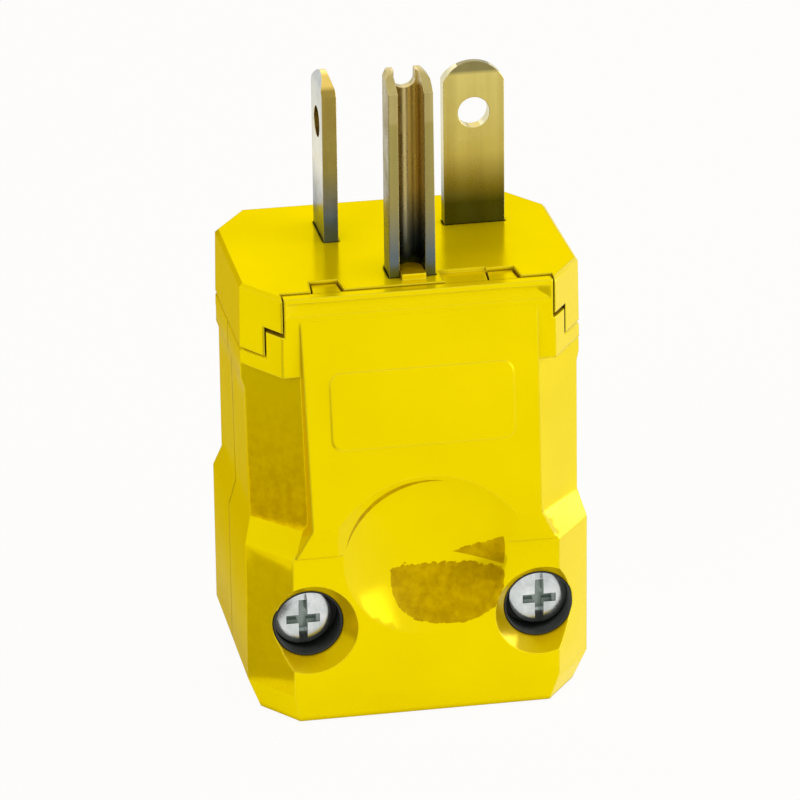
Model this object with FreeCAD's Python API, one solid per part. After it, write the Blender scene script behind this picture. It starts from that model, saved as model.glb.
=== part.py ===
import FreeCAD, Part
import math
import os

# Straight blade plug, in millimetres. +Z is up along the blades, -Y is the front with the
# two screws, +X is right. The origin is at the bottom centre, where the cord enters.

# Blades, in the places that their outlet gives them
blade_width = 6.35
blade_thickness = 1.52
blade_length = 17.5
blade_y = 4.75
line_x = -6.35
neutral_x = 9.1
blade_tip_rise = 1.95
blade_tip_bevel = 0.45
blade_tip_bevel_height = 1.3
blade_hole_radius = 1.65
blade_hole_height = 12.1
blade_root = 2.0

# Ground pin, bent to a channel that is open to the front
ground_offset = 11.89
ground_length = 20.9
ground_half_width = 2.38
ground_wall = 1.05
ground_leg = 2.65
ground_nose_radius = 6.0
ground_nose_rear = 1.2
ground_tip_inset = 0.6
ground_tip_height = 0.55
ground_notch_radius = 1.1
ground_notch_depth = 1.0
ground_taper = 0.12
slot_clearance = 0.1

ground_y = blade_y - ground_offset
ground_front = ground_y - ground_leg
ground_rear = ground_y + ground_half_width

# Cap with the plug face
face_height = 46.2
side_margin = 5.15
rear_margin = 5.275
cap_height = 6.8
cap_draft = 0.1
cap_corner_x = 3.5
cap_corner_y = 5.2
cap_plate = 4.0
cap_wall = 1.6
cap_edge_chamfer = 0.35
seam_gap = 0.15

cap_half_width = neutral_x + blade_width / 2 + side_margin
cap_half_depth = blade_y + blade_width / 2 + rear_margin
cap_skirt_bottom = face_height - cap_height
plate_bottom = face_height - cap_plate

# Pocket in the face and the boss that fills the foot of the ground pin's channel
face_pocket_left = 2.9
face_pocket_right = 7.7
face_pocket_front = 4.5
face_pocket_depth = 0.35
boss_height = 0.65
boss_lead = 0.9
boss_depth = 3.3
boss_root = 0.5

# Tongue and shoulders of the front cover, let into the cap
tongue_inset = 3.675
tongue_top_drop = 0.15
tongue_wall = 1.2
tongue_gap = 0.3
shoulder_inset = 2.125
shoulder_rise = 2.6
shoulder_gap = 0.5
shoulder_root = 0.5
cove_depth = 0.45
cove_height = 1.4
cove_drop = 0.55
cove_end = 0.25
cove_mitre = 1.5
cove_slope_top = 0.1
cove_slope_bottom = 0.8

tongue_half_width = cap_half_width - tongue_inset
tongue_inside = cap_half_depth - tongue_wall
shoulder_half_width = cap_half_width - shoulder_inset
shoulder_height = cap_skirt_bottom + shoulder_rise

# Hinge tabs that hook the front cover into the plug face
tab_inset = 4.7
tab_rear_width = 2.5
tab_front_width = 3.1
tab_reach = 4.0
tab_height = 2.6
tab_top_drop = 0.35
tab_nose_radius = 1.55
tab_root = 0.6
tab_clearance = 0.22

tab_centre = tongue_half_width - tab_inset

# Lip that holds the rear cover behind the cap's skirt
lip_half_width = 10.5
lip_thickness = 0.7
lip_rise = 2.3
lip_root = 1.9

# Waist between the rim and the ledge
block_top = 18.7
ledge_rise = 2.6
ledge_overlap = 2.1
waist_bottom_flare = 1.8
waist_corner_rise = 6.3
rim_height = 1.55
rim_chamfer = 0.3
rim_corner_drop = 0.25
side_step_top = 3.25
side_step_height = 0.9
side_inset_top = 0.3
side_inset_bottom = 0.45

rim_top = cap_skirt_bottom - seam_gap
rim_bottom = rim_top - rim_height
waist_bottom = block_top + ledge_rise

# Raised front panel
panel_inset = 1.92
panel_draft = 0.09
panel_top_drop = 2.65
panel_top_proud = 0.05
panel_knee_rise = 3.5
panel_knee_proud = 3.65
panel_foot_rise = 0.2
panel_foot_proud = 2.95
panel_flare = 1.6

panel_half_width = tongue_half_width - panel_inset
panel_top = face_height - panel_top_drop
panel_top_depth = cap_half_depth + panel_top_proud
panel_knee = block_top + panel_knee_rise
panel_knee_depth = cap_half_depth + panel_knee_proud

# Label pad on the front panel
label_side = 2.4
label_height = 7.9
label_drop = 1.3
label_radius = 1.2
label_proud = 0.08

label_half_width = panel_half_width - label_side
label_top = cap_skirt_bottom - label_drop
label_bottom = label_top - label_height

# Lower block round the cord grip
block_overhang = 0.415
block_flare = 2.65
block_corner_x = 4.0
block_corner_y = 5.15
bevel_height = 3.5
bevel_inset = 1.35
bevel_corner_trim = 0.6

block_half_width = cap_half_width + block_overhang
block_half_depth = cap_half_depth + block_flare

# Thumb dish
dish_drop = 0.75
dish_radius = 8.6
dish_depth = 2.3

dish_height = block_top - dish_drop

# Assembly screws, their recesses and nuts
screw_edge = 5.49
screw_height = 10.8
recess_shift = 0.35
recess_radius = 3.65
recess_mouth_radius = 4.85
recess_cone = 1.7
head_sink = 3.0
head_radius = 3.0
head_height = 1.9
head_chamfer = 0.7
shank_radius = 1.75
shank_clearance = 0.15
thread_clearance = 0.05
shank_point = 1.2
slot_width = 0.9
slot_depth = 0.8
cross_width = 0.95
cross_length = 3.5
cross_depth = 1.3
retainer_floor = 0.5
retainer_wall = 0.17
retainer_clearance = 0.08
retainer_drop = 0.1
nut_flats = 6.4
nut_thickness = 2.4
nut_pocket_depth = 5.6
nut_clearance = 0.1

screw_x = block_half_width - screw_edge
recess_x = screw_x - recess_shift
recess_floor = block_half_depth - head_sink

# Inside of the covers
split_gap = 0.1
cover_wall = 2.1
chamber_floor = 16.5
cord_space_side = 3.95
cord_space_wall = 4.25
entry_wall = 3.0
entry_side = 0.4

cord_space_half_width = screw_x - cord_space_side
cord_space_half_depth = block_half_depth - cord_space_wall
entry_radius = cord_space_half_width - entry_side

# Cord grips
grip_lift = 1.0
grip_height = 9.6
grip_side_play = 0.5
grip_jaw = 1.7
grip_split = 1.6
grip_tooth_count = 2
grip_tooth_height = 0.9
grip_tooth_length = 1.2
grip_tooth_root = 0.5
grip_seat_clearance = 0.15
grip_rail_height = 3.0
grip_rail_depth = 0.8
grip_rail_side = 2.0

grip_bottom = entry_wall + grip_lift
grip_half_width = cord_space_half_width - grip_side_play
grip_bore_radius = grip_half_width - grip_jaw

# Terminal carrier behind the face
carrier_inset = 2.7
carrier_plate = 3.6
partition = 1.5
partition_height = 13.6
partition_end = 0.6
cross_wall_offset = 6.85
centre_wall_x = 1.4

carrier_bottom = plate_bottom - carrier_plate
partition_bottom = carrier_bottom - partition_height
cross_wall_y = blade_y - cross_wall_offset

# Terminals
terminal_length = 11.0
terminal_half_width = 4.2
terminal_plate = 1.2
terminal_screw_rise = 4.8
terminal_screw_radius = 1.75
terminal_head_radius = 3.2
terminal_head_height = 2.1
terminal_slot_width = 0.9
terminal_slot_depth = 1.0
terminal_nose = 1.3
clamp_thickness = 1.1
clamp_lip = 0.8
clamp_lip_wall = 0.9
clamp_head_gap = 0.2

terminal_bottom = carrier_bottom - terminal_length
terminal_screw_height = terminal_bottom + terminal_screw_rise
clamp_half_size = terminal_head_radius + clamp_head_gap + clamp_lip_wall
channel_foot = terminal_screw_height + clamp_half_size + clamp_head_gap

# Screws that hold the carrier under the cap
carrier_screw_edge = 3.7
carrier_screw_y = -6.2
carrier_screw_radius = 1.25
carrier_screw_head_radius = 2.3
carrier_screw_head = 1.5
carrier_screw_bite = 3.0
carrier_screw_tip_gap = 0.2
carrier_screw_play = 0.02
drive_width = 0.6
drive_depth = 0.8
drive_side = 0.6

carrier_screw_x = cap_half_width - carrier_inset - carrier_screw_edge

CORE = FreeCAD.Vector(0, 0, 0)
UP = FreeCAD.Vector(0, 0, 1)
RIGHT = FreeCAD.Vector(1, 0, 0)
BACK = FreeCAD.Vector(0, 1, 0)

# How far a cutter runs past the face that it cuts, and a length longer than the plug
past = 1.0
far = 80.0


def at(x, y, z):
    return FreeCAD.Vector(x, y, z)


def block(x0, x1, y0, y1, z0, z1):
    return Part.makeBox(x1 - x0, y1 - y0, z1 - z0, at(x0, y0, z0))


def octagon_wire(section, z):
    """Rectangle with four cut corners, level at height z."""
    w, d, corner_x, corner_y = section
    corners = [
        (-w, -d + corner_y), (-w + corner_x, -d), (w - corner_x, -d), (w, -d + corner_y),
        (w, d - corner_y), (w - corner_x, d), (-w + corner_x, d), (-w, d - corner_y),
    ]
    points = [at(x, y, z) for x, y in corners]
    return Part.makePolygon(points + points[:1])


def octagon_block(section, z0, z1):
    return Part.Face(octagon_wire(section, z0)).extrude(UP * (z1 - z0))


def octagon_loft(*levels):
    """Solid with flat sides through level outlines, given as (section, z) pairs."""
    return Part.makeLoft([octagon_wire(section, z) for section, z in levels], True, True)


def inset(section, wall):
    """Section moved inwards by a wall on all eight sides."""
    w, d, corner_x, corner_y = section
    slant = math.hypot(corner_x, corner_y)
    return (
        w - wall, d - wall,
        corner_x - wall + wall * (slant - corner_x) / corner_y,
        corner_y - wall + wall * (slant - corner_y) / corner_x,
    )


def cap_section(z):
    """Outline of the cap at height z, wider downwards by its draft."""
    grow = cap_draft * (face_height - z) / cap_height
    return (cap_half_width + grow, cap_half_depth + grow, cap_corner_x, cap_corner_y)


def prism_x(outline, x0, x1):
    """Outline of (y, z) points drawn out along X."""
    points = [at(x0, y, z) for y, z in outline]
    return Part.Face(Part.makePolygon(points + points[:1])).extrude(RIGHT * (x1 - x0))


def prism_y(outline, y0, y1):
    """Outline of (x, z) points drawn out along Y."""
    points = [at(x, y0, z) for x, z in outline]
    return Part.Face(Part.makePolygon(points + points[:1])).extrude(BACK * (y1 - y0))


def prism_z(outline, z0, z1):
    """Outline of (x, y) points drawn out along Z."""
    points = [at(x, y, z0) for x, y in outline]
    return Part.Face(Part.makePolygon(points + points[:1])).extrude(UP * (z1 - z0))


def beyond(near, low, far_edge, high):
    """Outline outside a slanted edge from (near, low) to (far_edge, high), both on the negative side."""
    over = high + past
    return [(near, low), (far_edge, high), (far_edge, over), (near - past, over), (near - past, low)]


def rod_y(x, y0, y1, z, radius):
    return Part.makeCylinder(radius, y1 - y0, at(x, y0, z), BACK)


def rod_z(x, y, z0, z1, radius):
    return Part.makeCylinder(radius, z1 - z0, at(x, y, z0), UP)


def fuse(first, *others):
    return first.fuse(list(others)).removeSplitter()


def mirrored_in_depth(shape):
    return shape.mirror(CORE, BACK)


def mirrored_in_width(shape):
    return shape.mirror(CORE, RIGHT)


def blade_profile(z_low, z_high):
    """Flat outline of a blade, its tip one arc from edge to edge."""
    half = blade_width / 2
    shoulder = z_high - blade_tip_rise
    low_left = at(-half, 0, z_low)
    low_right = at(half, 0, z_low)
    right = at(half, 0, shoulder)
    left = at(-half, 0, shoulder)
    edges = [
        Part.makeLine(low_left, low_right),
        Part.makeLine(low_right, right),
        Part.Arc(right, at(0, 0, z_high), left).toShape(),
        Part.makeLine(left, low_left),
    ]
    return Part.Face(Part.Wire(edges))


def flat_blade():
    """Blade and terminal plate stamped from one strip, its plane across Y, at x = 0."""
    top = face_height + blade_length
    half = blade_thickness / 2
    strip = blade_profile(carrier_bottom - blade_root, top)
    strip.translate(at(0, -half, 0))
    blade = strip.extrude(BACK * blade_thickness)
    low = top - blade_tip_bevel_height
    slope = blade_tip_bevel / blade_tip_bevel_height
    for side in (-1, 1):
        root = side * (half + slope * past)
        tip = side * (half - blade_tip_bevel - slope * past)
        outer = side * (half + past)
        wedge = [(root, low - past), (tip, top + past), (outer, top + past), (outer, low - past)]
        blade = blade.cut(prism_x(wedge, -blade_width, blade_width))
    hole = rod_y(0, -past, past, face_height + blade_hole_height, blade_hole_radius)
    w = terminal_half_width
    plate = block(-w, w, -half, half, terminal_bottom, carrier_bottom)
    screw_hole = rod_y(0, -past, past, terminal_screw_height, terminal_screw_radius + thread_clearance)
    return fuse(blade.cut(hole), plate).cut(screw_hole)


def neutral_blade():
    blade = flat_blade()
    blade.translate(at(neutral_x, blade_y, 0))
    return blade


def line_blade():
    blade = flat_blade()
    blade.rotate(CORE, UP, 90)
    blade.translate(at(line_x, blade_y, 0))
    return blade


def channel(clearance, z0, z1):
    """U section of the ground pin, open to the front and round at the back."""
    outer = ground_half_width + clearance
    inner = ground_half_width - ground_wall - clearance
    front = ground_front - clearance
    back = rod_z(0, ground_y, z0, z1, outer)
    legs = block(-outer, outer, front, ground_y, z0, z1)
    bore = rod_z(0, ground_y, z0, z1, inner)
    gap = block(-inner, inner, front - past, ground_y, z0, z1)
    return fuse(back.cut(block(-outer, outer, front - past, ground_y, z0, z1)), legs).cut(bore).cut(gap)


def ground_blade():
    """Channel with a rounded nose, notched at the back, and its terminal plate."""
    top = face_height + ground_length
    pin = channel(0, channel_foot, top)
    w = ground_half_width
    inner = w - ground_tip_inset
    shoulder = top - ground_tip_height
    rear = ground_rear
    corner = prism_y(beyond(-w, shoulder, -inner, top), ground_front - past, rear + past)
    taper = prism_y(beyond(-w, face_height, ground_taper - w, top), ground_front - past, rear + past)
    rear_corner = prism_x(beyond(-rear, shoulder, ground_tip_inset - rear, top), -w - past, w + past)
    for cut in (corner, mirrored_in_width(corner), taper, mirrored_in_width(taper)):
        pin = pin.cut(cut)
    pin = pin.cut(mirrored_in_depth(rear_corner))
    nose_y = ground_y + ground_nose_rear
    nose_z = top - ground_nose_radius
    nose = Part.makeCylinder(ground_nose_radius, 2 * (w + past), at(-w - past, nose_y, nose_z), RIGHT)
    over = block(-w - past, w + past, ground_front - past, nose_y, nose_z, top + past)
    pin = pin.cut(over.cut(nose))
    r = ground_notch_radius
    notch_z = top - ground_notch_depth
    plate_y = rear - ground_wall
    notch = rod_y(0, plate_y - past, rear + past, notch_z, r)
    notch = fuse(notch, block(-r, r, plate_y - past, rear + past, notch_z, top + past))
    pin = pin.cut(notch)
    half = terminal_half_width
    plate = block(-half, half, plate_y, plate_y + terminal_plate, terminal_bottom, carrier_bottom)
    radius = terminal_screw_radius + thread_clearance
    hole = rod_y(0, plate_y - past, rear + past, terminal_screw_height, radius)
    return fuse(pin, plate).cut(hole)


def wire_clamp():
    """Pressure plate with two turned edges that keep the strands in, behind y = 0."""
    s = clamp_half_size
    plate = block(-s, s, 0, clamp_thickness, -s, s)
    lip = block(-s, -s + clamp_lip_wall, clamp_thickness, clamp_thickness + clamp_lip, -s, s)
    hole = rod_y(0, -past, clamp_thickness + past, 0, terminal_screw_radius + shank_clearance)
    return fuse(plate, lip, mirrored_in_width(lip)).cut(hole)


def terminal_screw(grip):
    """Binding-head screw along -Y, its head standing on y = clamp_thickness."""
    seat = clamp_thickness
    top = seat + terminal_head_height
    body = fuse(rod_y(0, seat, top, 0, terminal_head_radius), rod_y(0, -grip, seat, 0, terminal_screw_radius))
    half = terminal_slot_width / 2
    reach = terminal_head_radius + past
    return body.cut(block(-reach, reach, top - terminal_slot_depth, top + past, -half, half))


def placed_terminal(shape, name):
    """Moves a piece from its own seat to the outward side of one blade's terminal plate."""
    moved = shape.copy()
    half = blade_thickness / 2
    if name == "neutral":
        moved.translate(at(neutral_x, blade_y + half, terminal_screw_height))
    elif name == "line":
        moved.rotate(CORE, UP, 90)
        moved.translate(at(line_x - half, blade_y, terminal_screw_height))
    else:
        moved.rotate(CORE, UP, 180)
        moved.translate(at(0, ground_rear - ground_wall, terminal_screw_height))
    return moved


def blade_slots(z0, z1):
    """Slots for the three blades through a plate from z0 to z1."""
    c = slot_clearance
    w = blade_width / 2 + c
    t = blade_thickness / 2 + c
    line = block(line_x - t, line_x + t, blade_y - w, blade_y + w, z0, z1)
    neutral = block(neutral_x - w, neutral_x + w, blade_y - t, blade_y + t, z0, z1)
    return line.fuse([neutral, channel(c, z0, z1)])


def tab_outline(clearance):
    """Plan of a hinge tab, wider at its root on the cover's tongue."""
    rear = tab_rear_width / 2 + clearance
    front = tab_front_width / 2 + clearance
    root = -tongue_inside - tab_root
    tip = -cap_half_depth + tab_reach + clearance
    c = tab_centre
    return [(c - front, root), (c + front, root), (c + rear, tip), (c - rear, tip)]


def face_boss():
    """Low boss in the channel of the ground pin, round at the back like the channel."""
    r = ground_half_width - ground_wall - slot_clearance
    front = ground_front - boss_lead
    centre = front + boss_depth - r
    low = face_height - boss_root
    high = face_height + boss_height
    return fuse(block(-r, r, front, centre, low, high), rod_z(0, centre, low, high, r))


def face_body():
    """Cap with the plug face: plate, skirt, blade slots and notches for the hinge tabs."""
    skirt = cap_section(cap_skirt_bottom)
    cap = octagon_loft((skirt, cap_skirt_bottom), (cap_section(face_height), face_height))
    edges = [e for e in cap.Edges if e.BoundBox.ZMin > face_height - 0.01]
    cap = cap.makeChamfer(cap_edge_chamfer, edges)
    low = cap_skirt_bottom - past
    cavity = octagon_block(inset(cap_section(face_height), cap_wall), low, plate_bottom)
    c = seam_gap
    outside = cap_half_depth + past
    corner = -cap_half_depth + cap_corner_y
    t = tongue_half_width + c
    s = shoulder_half_width + c
    front_opening = block(-t, t, -outside, 0, low, plate_bottom)
    tongue_room = block(-t, t, -outside, -tongue_inside + tongue_gap, low, face_height + past)
    shoulder_room = block(-s, s, -outside, corner, low, shoulder_height + shoulder_gap)
    notch = prism_z(tab_outline(tab_clearance), plate_bottom - past, face_height + past)
    pocket = block(
        face_pocket_left, face_pocket_right, -outside, -cap_half_depth + face_pocket_front,
        face_height - face_pocket_depth, face_height + past,
    )
    cap = cap.cut([cavity, front_opening, tongue_room, shoulder_room, pocket])
    cap = cap.cut([notch, mirrored_in_width(notch), blade_slots(plate_bottom - past, face_height + past)])
    cap = fuse(cap, face_boss())
    top = plate_bottom + carrier_screw_bite
    for side in (-1, 1):
        x = side * carrier_screw_x
        cap = cap.cut(rod_z(x, carrier_screw_y, plate_bottom, top, carrier_screw_radius))
    return cap


def terminal_carrier():
    """Insulating block behind the face, with walls that keep the three terminals apart."""
    section = inset(cap_section(face_height), carrier_inset)
    plate = octagon_block(section, carrier_bottom, plate_bottom)
    half = partition / 2
    reach = section[0] - partition_end
    rear = section[1] - partition_end
    low = partition_bottom
    cross = block(-reach, reach, cross_wall_y - half, cross_wall_y + half, low, carrier_bottom)
    centre = block(centre_wall_x - half, centre_wall_x + half, cross_wall_y, rear, low, carrier_bottom)
    carrier = fuse(plate, cross, centre)
    carrier = carrier.cut(blade_slots(carrier_bottom - past, plate_bottom + past))
    radius = carrier_screw_radius + shank_clearance
    for side in (-1, 1):
        x = side * carrier_screw_x
        carrier = carrier.cut(rod_z(x, carrier_screw_y, carrier_bottom - past, plate_bottom + past, radius))
    return carrier


def carrier_screw(side):
    x = side * carrier_screw_x
    y = carrier_screw_y
    low = carrier_bottom - carrier_screw_head
    tip = plate_bottom + carrier_screw_bite - carrier_screw_tip_gap
    head = rod_z(x, y, low, carrier_bottom, carrier_screw_head_radius)
    shank = rod_z(x, y, carrier_bottom, tip, carrier_screw_radius - carrier_screw_play)
    reach = carrier_screw_head_radius - drive_side
    half = drive_width / 2
    slot_x = block(x - reach, x + reach, y - half, y + half, low - past, low + drive_depth)
    slot_y = block(x - half, x + half, y - reach, y + reach, low - past, low + drive_depth)
    return fuse(head, shank).cut([slot_x, slot_y])


def block_section():
    return (block_half_width, block_half_depth, block_corner_x, block_corner_y)


def waist_section(z, side_inset):
    """Outline of the waist: its corner faces run from the sides to the edge of the panel."""
    full_width = cap_section(cap_skirt_bottom)[0]
    share = (rim_bottom - z) / (rim_bottom - waist_bottom)
    depth_top = cap_section(cap_skirt_bottom)[1] + rim_corner_drop / 2
    depth = depth_top + waist_bottom_flare * share
    corner_x = full_width - panel_half_width
    corner_y = cap_corner_y + rim_corner_drop + (waist_corner_rise - cap_corner_y - rim_corner_drop) * share
    left = corner_x - side_inset
    return (full_width - side_inset, depth, left, corner_y * left / corner_x)


def waist():
    """Waist of a cover from the ledge to the rim, its sides set in below a step."""
    step_top = rim_top - side_step_top
    step_bottom = step_top - side_step_height
    body = octagon_loft(
        (waist_section(waist_bottom, side_inset_bottom), waist_bottom),
        (waist_section(step_bottom, side_inset_top), step_bottom),
        (waist_section(step_top, 0), step_top),
        (waist_section(rim_bottom, 0), rim_bottom),
    )
    top = cap_section(cap_skirt_bottom)
    deep = (top[0], waist_section(rim_bottom, 0)[1], cap_corner_x, cap_corner_y)
    rim = octagon_loft((deep, rim_bottom), (top, rim_top - rim_chamfer), (inset(top, rim_chamfer), rim_top))
    return body, rim


def ledge():
    """Sloped shoulder that rises from the lower block into the waist."""
    lower = block_section()
    over = (ledge_rise + ledge_overlap) / ledge_rise
    at_waist = waist_section(waist_bottom, side_inset_bottom)
    upper = [a + (b - a) * over for a, b in zip(lower, at_waist)]
    return octagon_loft((lower, block_top), (upper, block_top + ledge_rise * over))


def panel(top):
    """Raised panel that leans outwards to the ledge, with drafted sides and a flared foot."""
    inside = -tongue_inside
    foot = block_top + panel_foot_rise
    lean = (panel_knee_depth - panel_top_depth) / (panel_top - panel_knee)
    top_depth = panel_top_depth + lean * (panel_top - top)
    side_view = [
        (inside, top), (-top_depth, top), (-panel_knee_depth, panel_knee),
        (-cap_half_depth - panel_foot_proud, foot), (inside, foot),
    ]
    outlines = []
    for y in (inside, -panel_knee_depth - past):
        w = panel_half_width + panel_draft * (y + panel_knee_depth)
        f = w + panel_flare
        corners = [(-w, top), (-w, panel_knee), (-f, foot), (f, foot), (w, panel_knee), (w, top)]
        points = [at(x, y, z) for x, z in corners]
        outlines.append(Part.makePolygon(points + points[:1]))
    return Part.makeLoft(outlines, True, True).common(prism_x(side_view, -far, far))


def cove():
    """Shallow groove across the tongue, with mitred ends."""
    t = tongue_half_width
    high = face_height - tongue_top_drop - cove_drop
    low = high - cove_height
    mouth = (t - cove_end, high, low, -cap_half_depth)
    floor = (t - cove_mitre, high - cove_slope_top, low + cove_slope_bottom, -cap_half_depth + cove_depth)
    wires = []
    for x, upper, lower, y in (mouth, floor):
        points = [at(-x, y, upper), at(x, y, upper), at(x, y, lower), at(-x, y, lower)]
        wires.append(Part.makePolygon(points + points[:1]))
    front = block(cove_end - t, t - cove_end, -cap_half_depth - past, -cap_half_depth, low, high)
    return Part.makeLoft(wires, True, True).fuse(front)


def tongue():
    """Upper rim of the front cover: shoulders under the cap's corners and a tongue to the face."""
    top = face_height - tongue_top_drop
    low = rim_bottom
    envelope = octagon_loft((cap_section(low), low), (cap_section(top), top))
    hollow_section = inset(cap_section(face_height), cap_wall)
    hollow = octagon_block((hollow_section[0], tongue_inside) + hollow_section[2:], low - past, top + past)
    ring = envelope.cut(hollow)
    t = tongue_half_width
    s = shoulder_half_width
    shoulder_back = -cap_half_depth + cap_corner_y - shoulder_root
    strip = fuse(
        ring.common(block(-t, t, -far, -tongue_inside, low, top)),
        ring.common(block(-s, s, -far, shoulder_back, low, shoulder_height)),
    )
    return strip.cut(cove())


def hinge_tab():
    """Right hinge tab with a rounded nose that hooks into the cap's notch."""
    top = face_height - tab_top_drop
    tab = prism_z(tab_outline(0), top - tab_height, top)
    tip = -cap_half_depth + tab_reach
    nose = [e for e in tab.Edges if e.BoundBox.YMin > tip - 0.01 and e.BoundBox.ZMax < top - 0.01]
    return tab.makeFillet(tab_nose_radius, nose)


def rear_lip():
    """Lip of the rear cover, for now at the front, that stands behind the cap's skirt."""
    outer = -cap_half_depth + cap_wall + seam_gap
    w = lip_half_width
    return block(-w, w, outer, outer + lip_thickness, rim_top - lip_root, rim_top + lip_rise)


def cover_shell(closing, panel_height):
    """Outer form of a cover with its own closing parts at the top, hollow inside."""
    lower = block_section()
    foot = (
        block_half_width - bevel_inset, block_half_depth - bevel_inset,
        block_corner_x - bevel_corner_trim, block_corner_y - bevel_corner_trim,
    )
    base = octagon_loft((foot, 0), (lower, bevel_height))
    trunk = octagon_block(lower, bevel_height, block_top)
    body, rim = waist()
    outer = fuse(base, trunk, ledge(), body, rim, panel(panel_height), *closing)
    room = octagon_block(inset(cap_section(face_height), cover_wall), chamber_floor, rim_top + past)
    w = cord_space_half_width
    d = cord_space_half_depth
    cord_room = block(-w, w, -d, d, entry_wall, chamber_floor + past)
    entry = rod_z(0, 0, -past, entry_wall + past, entry_radius)
    rear_half = block(-far, far, -split_gap, far, -past, face_height + past)
    return outer, [room, cord_room, entry, rear_half]


def dish():
    ball_radius = (dish_radius ** 2 + dish_depth ** 2) / (2 * dish_depth)
    return Part.makeSphere(ball_radius, at(0, -block_half_depth + dish_depth - ball_radius, dish_height))


def grip_seat(clearance):
    """Rail on the back of a cord grip, and the groove for it in the cover's front wall."""
    z = grip_bottom + (grip_height - grip_rail_height) / 2
    w = grip_half_width - grip_rail_side + clearance
    back = -cord_space_half_depth
    return block(
        -w, w, back - grip_rail_depth - clearance, back + grip_tooth_root,
        z - clearance, z + grip_rail_height + clearance,
    )


def label_pad():
    """Thin raised pad on the leaning panel, left blank."""
    lean = math.atan2(panel_knee_depth - panel_top_depth, panel_top - panel_knee)
    w = label_half_width
    pad = block(-w, w, -far, 0, label_bottom, label_top)
    corners = [e for e in pad.Edges if e.BoundBox.YLength > far / 2]
    pad = pad.makeFillet(label_radius, corners)
    slab = block(-w, w, -label_proud, past, -far, past)
    slab.rotate(CORE, RIGHT, -math.degrees(lean))
    slab.translate(at(0, -panel_top_depth, panel_top))
    return pad.common(slab)


def screw_recess(side):
    """Bore, cone and shank hole for one assembly screw, cut from the front."""
    x = side * recess_x
    z = screw_height
    mouth = -block_half_depth
    seat = -recess_floor + head_height + retainer_floor
    bore = rod_y(x, mouth - past, seat, z, recess_radius)
    deep = at(x, mouth + recess_cone, z)
    cone = Part.makeCone(recess_radius, recess_mouth_radius, recess_cone, deep, -BACK)
    mouth_cut = rod_y(x, -far, mouth, z, recess_mouth_radius)
    hole = rod_y(side * screw_x, -far, past, z, shank_radius + shank_clearance)
    return [bore, cone, mouth_cut, hole]


def front_cover():
    """Front half shell with tongue, hinge tabs, label pad and the recesses for the screw heads."""
    tab = hinge_tab()
    outer, hollows = cover_shell([tongue(), tab, mirrored_in_width(tab)], panel_top)
    cover = outer.fuse(label_pad()).cut(hollows + [dish(), grip_seat(grip_seat_clearance)])
    return cover.cut(screw_recess(-1) + screw_recess(1))


def rear_cover():
    """Rear half shell with a lip behind the cap's skirt and pockets for the captive nuts."""
    outer, hollows = cover_shell([], rim_top - rim_chamfer)
    cover = outer.cut(hollows + [dish(), grip_seat(grip_seat_clearance)])
    cover = mirrored_in_depth(cover.fuse(rear_lip()))
    for side in (-1, 1):
        x = side * screw_x
        pocket = nut_prism(nut_flats + 2 * nut_clearance, far)
        pocket.translate(at(x, block_half_depth - nut_pocket_depth, screw_height))
        cover = cover.cut([pocket, rod_y(x, -past, far, screw_height, shank_radius + shank_clearance)])
    return cover


def nut_prism(flats, length):
    """Hexagon across X and Z with a flat at each side, drawn out along +Y."""
    radius = flats / math.sqrt(3)
    angles = [math.radians(60 * k) for k in range(6)]
    outline = [(radius * math.sin(a), radius * math.cos(a)) for a in angles]
    return prism_y(outline, 0, length)


def captive_nut(side):
    x = side * screw_x
    nut = nut_prism(nut_flats, nut_thickness)
    nut.translate(at(x, block_half_depth - nut_pocket_depth, screw_height))
    return nut.cut(rod_y(x, 0, far, screw_height, shank_radius + thread_clearance))


def assembly_screw(side):
    """Pan-head screw with a cross and a slot, through both covers into its nut."""
    x = side * screw_x
    z = screw_height
    face = -recess_floor
    seat = face + head_height
    head = rod_y(x, face, seat, z, head_radius)
    rim = [e for e in head.Edges if abs(e.BoundBox.YMax - face) < 0.01 and e.BoundBox.XLength > head_radius]
    head = head.makeChamfer(head_chamfer, rim)
    tip = block_half_depth - nut_pocket_depth + nut_thickness + shank_point
    screw = fuse(head, rod_y(x, seat, tip, z, shank_radius))
    half = slot_width / 2
    reach = cross_length / 2
    arm = cross_width / 2
    over = head_radius + past
    slot = block(x - half, x + half, face - past, face + slot_depth, z - over, z + over)
    arm_x = block(x - reach, x + reach, face - past, face + cross_depth, z - arm, z + arm)
    arm_z = block(x - arm, x + arm, face - past, face + cross_depth, z - reach, z + reach)
    return screw.cut([slot, arm_x, arm_z])


def screw_retainer(side):
    """Black cup that lines the recess and holds the screw in the cover when the plug is open."""
    x = side * recess_x
    z = screw_height
    seat = -recess_floor + head_height
    rim = -block_half_depth + recess_cone + retainer_drop
    outer = recess_radius - retainer_clearance
    cup = rod_y(x, rim, seat + retainer_floor, z, outer)
    inside = rod_y(x, rim - past, seat, z, outer - retainer_wall)
    hole = rod_y(side * screw_x, seat - past, past, z, shank_radius + thread_clearance)
    return cup.cut([inside, hole])


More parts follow.
